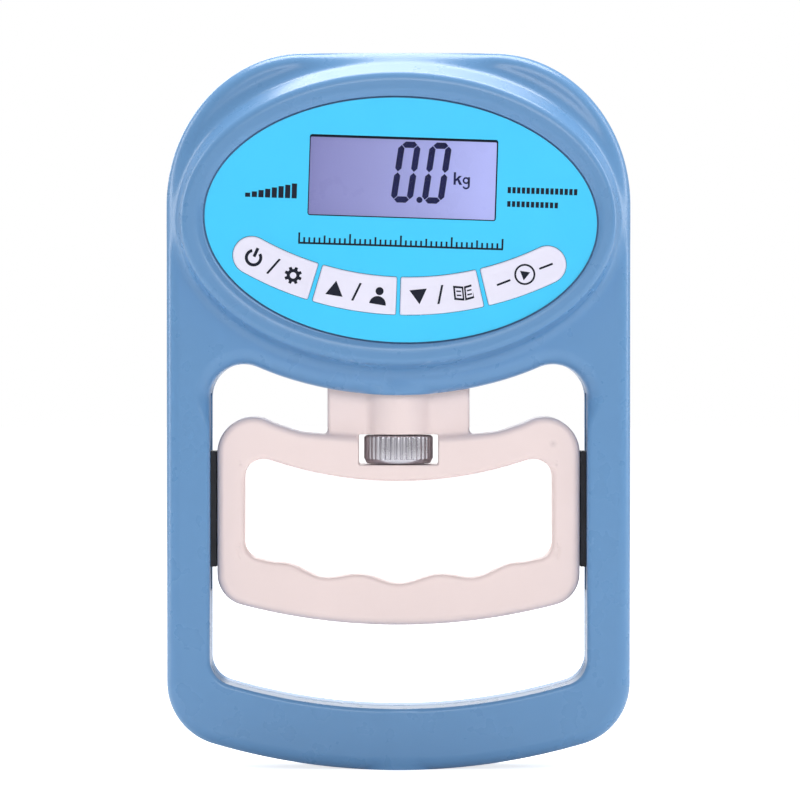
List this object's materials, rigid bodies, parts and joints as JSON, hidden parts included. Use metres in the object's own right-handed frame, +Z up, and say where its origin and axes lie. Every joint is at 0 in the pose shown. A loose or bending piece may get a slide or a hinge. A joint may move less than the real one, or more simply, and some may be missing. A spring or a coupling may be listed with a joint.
{
  "type": "hand dynamometer",
  "caption": "Upright grip strength meter: a ring frame with a display head, and a fluted-wheel adjustable sliding handle in its opening.",
  "frame": {"origin": "middle of the device's width and depth, at the lowest point of its curved base", "axes": "+Z up from the base to the display head, -Y out of the display's front, +X to the right seen from the front"},
  "size_m": [0.123, 0.032, 0.19],
  "materials": {
    "housing_plastic": "light blue moulded ABS, satin",
    "panel_film": "cyan printed overlay, satin gloss",
    "key_film": "lavender white key faces, satin",
    "clear_lens": "clear acrylic window, polished",
    "lcd_glass": "lavender lit liquid crystal cell",
    "light_guide": "milky light guide",
    "handle_plastic": "pinkish off-white moulded ABS, satin",
    "black_nylon": "black nylon, low sheen",
    "wheel_metal": "nickel-plated, fluted rim",
    "fastener_steel": "zinc-plated screws",
    "rod_steel": "machined steel, threaded",
    "bracket_steel": "pressed steel",
    "cell_alloy": "machined alloy, satin",
    "board_laminate": "green lacquered circuit board",
    "battery_can": "plain printed sleeve on a metal can",
    "contact_metal": "nickel-plated spring steel",
    "wire_sheath": "black wire insulation",
    "wire_sheath_red": "red wire insulation"
  },
  "bodies": {
    "frame": {"front_shell": "housing_plastic", "rear_shell": "housing_plastic", "panel_overlay": "panel_film", "display_lens": "clear_lens", "lcd_module": "lcd_glass", "lcd_backlight": "light_guide", "lcd_frame": "black_nylon", "main_board": "board_laminate", "microcontroller": "black_nylon", "key_switch_1": "black_nylon", "key_switch_2": "black_nylon", "key_switch_3": "black_nylon", "key_switch_4": "black_nylon", "board_screw_1": "fastener_steel", "board_screw_2": "fastener_steel", "board_screw_3": "fastener_steel", "board_screw_4": "fastener_steel", "shell_screw_1": "fastener_steel", "shell_screw_2": "fastener_steel", "shell_screw_3": "fastener_steel", "shell_screw_4": "fastener_steel", "shell_screw_5": "fastener_steel", "shell_screw_6": "fastener_steel", "load_cell": "cell_alloy", "load_bracket": "bracket_steel", "threaded_sleeve": "rod_steel", "sleeve_nut": "fastener_steel", "cell_screw_1": "fastener_steel", "cell_screw_2": "fastener_steel", "bracket_screw_left": "fastener_steel", "bracket_screw_right": "fastener_steel", "cell_cable": "wire_sheath", "guide_rail_left": "housing_plastic", "guide_rail_right": "housing_plastic", "battery_lower": "battery_can", "battery_upper": "battery_can", "contact_bridge": "contact_metal", "contact_negative": "contact_metal", "contact_positive": "contact_metal", "wire_positive": "wire_sheath_red", "wire_negative": "wire_sheath"},
    "handle": {"handle_front": "handle_plastic", "handle_rear": "handle_plastic", "slider_left": "black_nylon", "slider_right": "black_nylon", "handle_screw_1": "fastener_steel", "handle_screw_2": "fastener_steel", "handle_screw_3": "fastener_steel", "handle_screw_4": "fastener_steel", "thrust_washer": "fastener_steel"},
    "wheel": {"adjusting_wheel": "wheel_metal", "threaded_rod": "rod_steel"},
    "key_power": {"key_power": "key_film"},
    "key_up": {"key_up": "key_film"},
    "key_down": {"key_down": "key_film"},
    "key_start": {"key_start": "key_film"},
    "battery_door": {"battery_cover": "housing_plastic"}
  },
  "joints": [
    {"name": "handle_slide", "type": "slide", "parent": "frame", "child": "handle", "axis": [0, 0, 1], "range_m": [-0.005, 0.00875]},
    {"name": "wheel_spin", "type": "hinge", "parent": "handle", "child": "wheel", "pos_m": [0, 0.0035, 0.08485], "axis": [0, 0, 1], "range_deg": [-1440, 2520]},
    {"name": "key_power_press", "type": "slide", "parent": "frame", "child": "key_power", "axis": [0, 1, 0], "range_m": [0, 0.0005], "stiffness_N_per_m": 2000, "springref_m": -0.0002},
    {"name": "key_up_press", "type": "slide", "parent": "frame", "child": "key_up", "axis": [0, 1, 0], "range_m": [0, 0.0005], "stiffness_N_per_m": 2000, "springref_m": -0.0002},
    {"name": "key_down_press", "type": "slide", "parent": "frame", "child": "key_down", "axis": [0, 1, 0], "range_m": [0, 0.0005], "stiffness_N_per_m": 2000, "springref_m": -0.0002},
    {"name": "key_start_press", "type": "slide", "parent": "frame", "child": "key_start", "axis": [0, 1, 0], "range_m": [0, 0.0005], "stiffness_N_per_m": 2000, "springref_m": -0.0002},
    {"name": "battery_door_tip", "type": "hinge", "parent": "frame", "child": "battery_door", "pos_m": [0, 0.0159, 0.1521], "axis": [-1, 0, 0], "range_deg": [0, 75]}
  ],
  "couplings": [
    {"joint": "wheel_spin", "follows": "handle_slide", "rad_per_m": 5026.5}
  ]
}
